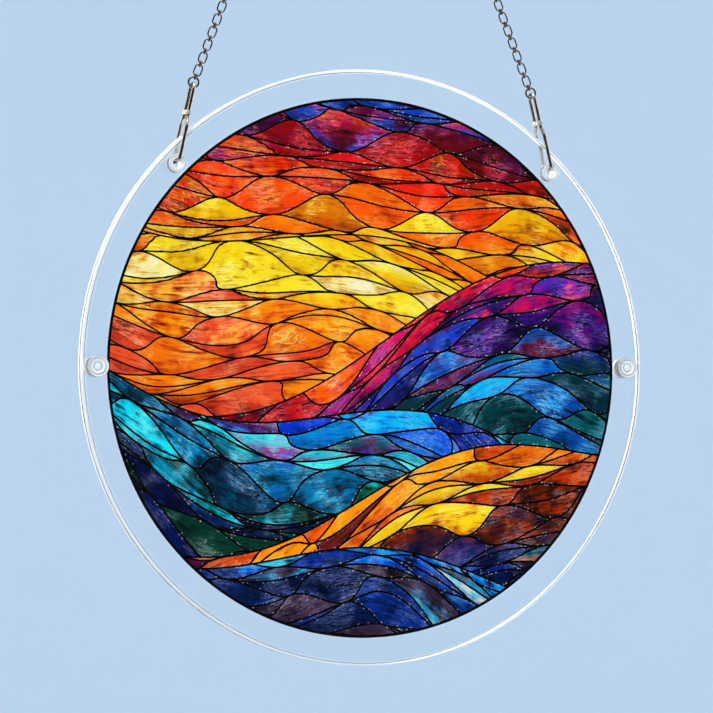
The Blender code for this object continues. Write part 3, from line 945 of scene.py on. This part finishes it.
def draw_wire(wire_bm, section, moves, axis):
    """Carries a section along straight pulls and about bends until it meets its start."""
    for kind, where, *turn in moves:
        if kind == "pull":
            corners, section = draw_out(wire_bm, section)
            bmesh.ops.translate(wire_bm, verts=corners, vec=where)
        else:
            corners = list({end for edge in section for end in edge.verts})
            steps = max(2, round(abs(turn[0]) / bend_step))
            made = bmesh.ops.spin(
                wire_bm, geom=corners + section, cent=where, axis=axis, angle=turn[0], steps=steps
            )["geom_last"]
            section = [item for item in made if isinstance(item, bmesh.types.BMEdge)]
    close_wire(wire_bm)


def stand_on_hook(side, side_sign, height):
    """The place at a height above the hook's foot, leaning as the hook does."""
    up_hook = Vector((-side_sign * math.sin(hook_tilt), 0.0, math.cos(hook_tilt)))
    foot_height = eyelet_bore / 2 - hook_wire / 2 - fitting_gap
    place = middle_of("eyelet_" + side) + up_hook * (foot_height + height)
    return Matrix.Translation(place) @ Matrix.Rotation(-side_sign * hook_tilt, 4, "Y")


wide = seat + eyelet_lip_height + fitting_gap + hook_wire / 2 - hook_runs_inset
narrow = hook_runs_apart / 2
corner = hook_corner_radius
crown = hook_length - narrow
pinch = hook_length - sleeve_drop - sleeve_height / 2 - fitting_gap
shares = [
    (1 - math.cos(math.pi * step / hook_spread_steps)) / 2
    for step in range(hook_spread_steps + 1)
]
spread = [(wide - narrow) * (second - first) for first, second in zip(shares, shares[1:])]
drop = (pinch - hook_edge_clearance) / hook_spread_steps
hook_moves = [
    ("pull", (0.0, 0.0, crown - pinch)),
    ("bend", (0.0, 0.0, crown), math.pi),
    ("pull", (0.0, 0.0, pinch - crown)),
    *(("pull", (0.0, -part, -drop)) for part in spread),
    ("pull", (0.0, 0.0, corner - hook_edge_clearance)),
    ("bend", (0.0, corner - wide, corner), math.pi / 2),
    ("pull", (0.0, 2 * (wide - corner), 0.0)),
    ("bend", (0.0, wide - corner, corner), math.pi / 2),
    ("pull", (0.0, 0.0, hook_edge_clearance - corner)),
    *(("pull", (0.0, -part, drop)) for part in spread),
]
for side, side_sign in sides:
    bm = bmesh.new()
    section = bmesh.ops.create_circle(bm, segments=wire_sides, radius=hook_wire / 2)["verts"]
    bmesh.ops.translate(bm, verts=section, vec=(0.0, narrow, pinch))
    draw_wire(bm, bm.edges[:], hook_moves, (1.0, 0.0, 0.0))
    bmesh.ops.transform(bm, matrix=stand_on_hook(side, side_sign, 0.0), verts=bm.verts)
    hook = make_object("wire_hook_" + side, bm, polished_nickel)
    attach(hook, "root")
    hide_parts("hook_" + side)

# The sleeves: short strips of bright steel pressed around both runs of a hook, so that it can't
# open under the panel's weight. Each is a flat-sided ring with round ends.
sleeve_wall = 0.0003
sleeve_clearance = 0.00008
sleeve_rounding = 0.00008

bright_steel, tree, shader = new_finish("bright_steel", {"Metallic": 0.55})
rolling = mottle(on_piece(), 700.0, detail=5.0)
steel_tints = ((0.0, (0.42, 0.38, 0.36)), (1.0, (0.66, 0.61, 0.58)))
feed(shader.inputs["Base Color"], stops_along(rolling, steel_tints))
feed(shader.inputs["Roughness"], rescaled(rolling, 0.0, 1.0, 0.16, 0.38))
bump_by(rolling, strength=0.2, depth=0.00005)

sleeve_middle = hook_wire / 2 + sleeve_clearance + sleeve_wall / 2
sleeve_moves = [
    ("bend", (0.0, narrow, 0.0), math.pi),
    ("pull", (0.0, -2 * narrow, 0.0)),
    ("bend", (0.0, -narrow, 0.0), math.pi),
    ("pull", (0.0, 2 * narrow, 0.0)),
]
for side, side_sign in sides:
    bm = bmesh.new()
    corners = [
        bm.verts.new((sleeve_middle + out * sleeve_wall / 2, narrow, up * sleeve_height / 2))
        for out, up in ((-1, -1), (1, -1), (1, 1), (-1, 1))
    ]
    strip = [bm.edges.new(pair) for pair in zip(corners, corners[1:] + corners[:1])]
    draw_wire(bm, strip, sleeve_moves, (0.0, 0.0, 1.0))
    round_off(bm, sharp_edges(bm, 60), sleeve_rounding, 2)
    stand = stand_on_hook(side, side_sign, hook_length - sleeve_drop)
    bmesh.ops.transform(bm, matrix=stand, verts=bm.verts)
    sleeve = make_object("pressed_sleeve_" + side, bm, bright_steel)
    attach(sleeve, "root")
    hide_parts("sleeve_" + side)

# The chains: ovals of fine nickel-plated wire seen from the front, joined by small round links seen
# edge on, with a rounder and thicker link at each end. The wires just touch, as under load.
link_wire = 0.00055
oval_length = 0.0045
oval_width = 0.0031
small_ring_diameter = 0.0023
ovals_per_chain = 34
end_link_diameter = 0.0042
end_link_wire = 0.0007
link_sides = 8
link_sharp_degrees = 80.0

dark_nickel, tree, shader = new_finish("dark_nickel", {"Metallic": 1.0})
plate((0.10, 0.075, 0.055), (0.34, 0.28, 0.22))


def link(diameter, wire, length, edge_on):
    """A link that stands on its end: its round ends are drawn apart by straight runs."""
    link_bm = bmesh.new()
    run = length - diameter
    section = bmesh.ops.create_circle(link_bm, segments=link_sides, radius=wire / 2)["verts"]
    bmesh.ops.translate(link_bm, verts=section, vec=((diameter - wire) / 2, 0.0, -run / 2))
    moves = [
        ("pull", (0.0, 0.0, run)),
        ("bend", (0.0, 0.0, run / 2), -math.pi),
        ("pull", (0.0, 0.0, -run)),
        ("bend", (0.0, 0.0, -run / 2), -math.pi),
    ]
    if not run:
        moves = [moves[1], moves[3]]
    draw_wire(link_bm, link_bm.edges[:], moves, (0.0, 1.0, 0.0))
    if edge_on:
        quarter = Matrix.Rotation(math.pi / 2, 3, "Z")
        bmesh.ops.rotate(link_bm, verts=link_bm.verts, cent=(0.0, 0.0, 0.0), matrix=quarter)
    mesh = bpy.data.meshes.new("link")
    link_bm.to_mesh(mesh)
    link_bm.free()
    return mesh


oval = link(oval_width, link_wire, oval_length, False)
small_ring = link(small_ring_diameter, link_wire, small_ring_diameter, True)
front_end_link = link(end_link_diameter, end_link_wire, end_link_diameter, False)
edge_end_link = link(end_link_diameter, end_link_wire, end_link_diameter, True)

end_reach = (end_link_diameter - end_link_wire) / 2
oval_reach = (oval_length - link_wire) / 2
small_reach = (small_ring_diameter - link_wire) / 2
mixed_wires = (end_link_wire + link_wire) / 2
first_height = end_reach - (end_link_wire + hook_wire) / 2 - fitting_gap
strung = [(front_end_link, first_height)]
top = first_height + end_reach
crossing = mixed_wires
for _ in range(ovals_per_chain):
    strung.append((small_ring, top - crossing + small_reach))
    top = strung[-1][1] + small_reach
    strung.append((oval, top - link_wire + oval_reach))
    top = strung[-1][1] + oval_reach
    crossing = link_wire
strung.append((edge_end_link, top - mixed_wires + end_reach))
nail_ring_middle = middle_of("hanging_ring")
for side, side_sign in sides:
    bm = bmesh.new()
    for mesh, height in strung:
        before = len(bm.verts)
        bm.from_mesh(mesh)
        bm.verts.ensure_lookup_table()
        bmesh.ops.translate(bm, verts=bm.verts[before:], vec=(0.0, 0.0, height))
    head_of_hook = stand_on_hook(side, side_sign, hook_length).to_translation()
    way = nail_ring_middle - head_of_hook
    stand = Matrix.Translation(head_of_hook) @ Matrix.Rotation(math.atan2(way.x, way.z), 4, "Y")
    bmesh.ops.transform(bm, matrix=stand, verts=bm.verts)
    chain = make_object("fine_chain_" + side, bm, dark_nickel, link_sharp_degrees)
    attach(chain, "root")
    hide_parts("chain_" + side)

# The hanging ring: one plain closed ring of thicker nickel-plated wire, which gathers both chains
# and hangs on a nail or a hook.
nail_ring_steps = 96
nail_ring_sides = 24
ring_low, ring_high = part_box("hanging_ring")
nail_ring_wire = ring_high.y - ring_low.y
nail_ring_reach = (ring_high.x - ring_low.x - nail_ring_wire) / 2
bm = bmesh.new()
bmesh.ops.create_circle(bm, segments=nail_ring_sides, radius=nail_ring_wire / 2)
bmesh.ops.translate(bm, verts=bm.verts, vec=(nail_ring_reach, 0.0, 0.0))
bmesh.ops.spin(
    bm, geom=bm.verts[:] + bm.edges[:], cent=(0.0, 0.0, 0.0), axis=(0.0, 1.0, 0.0),
    angle=2 * math.pi, steps=nail_ring_steps, use_merge=True,
)
close_wire(bm)
bmesh.ops.translate(bm, verts=bm.verts, vec=nail_ring_middle)
hanging_ring = make_object("nail_ring", bm, polished_nickel)
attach(hanging_ring, "root")
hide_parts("hanging_ring")
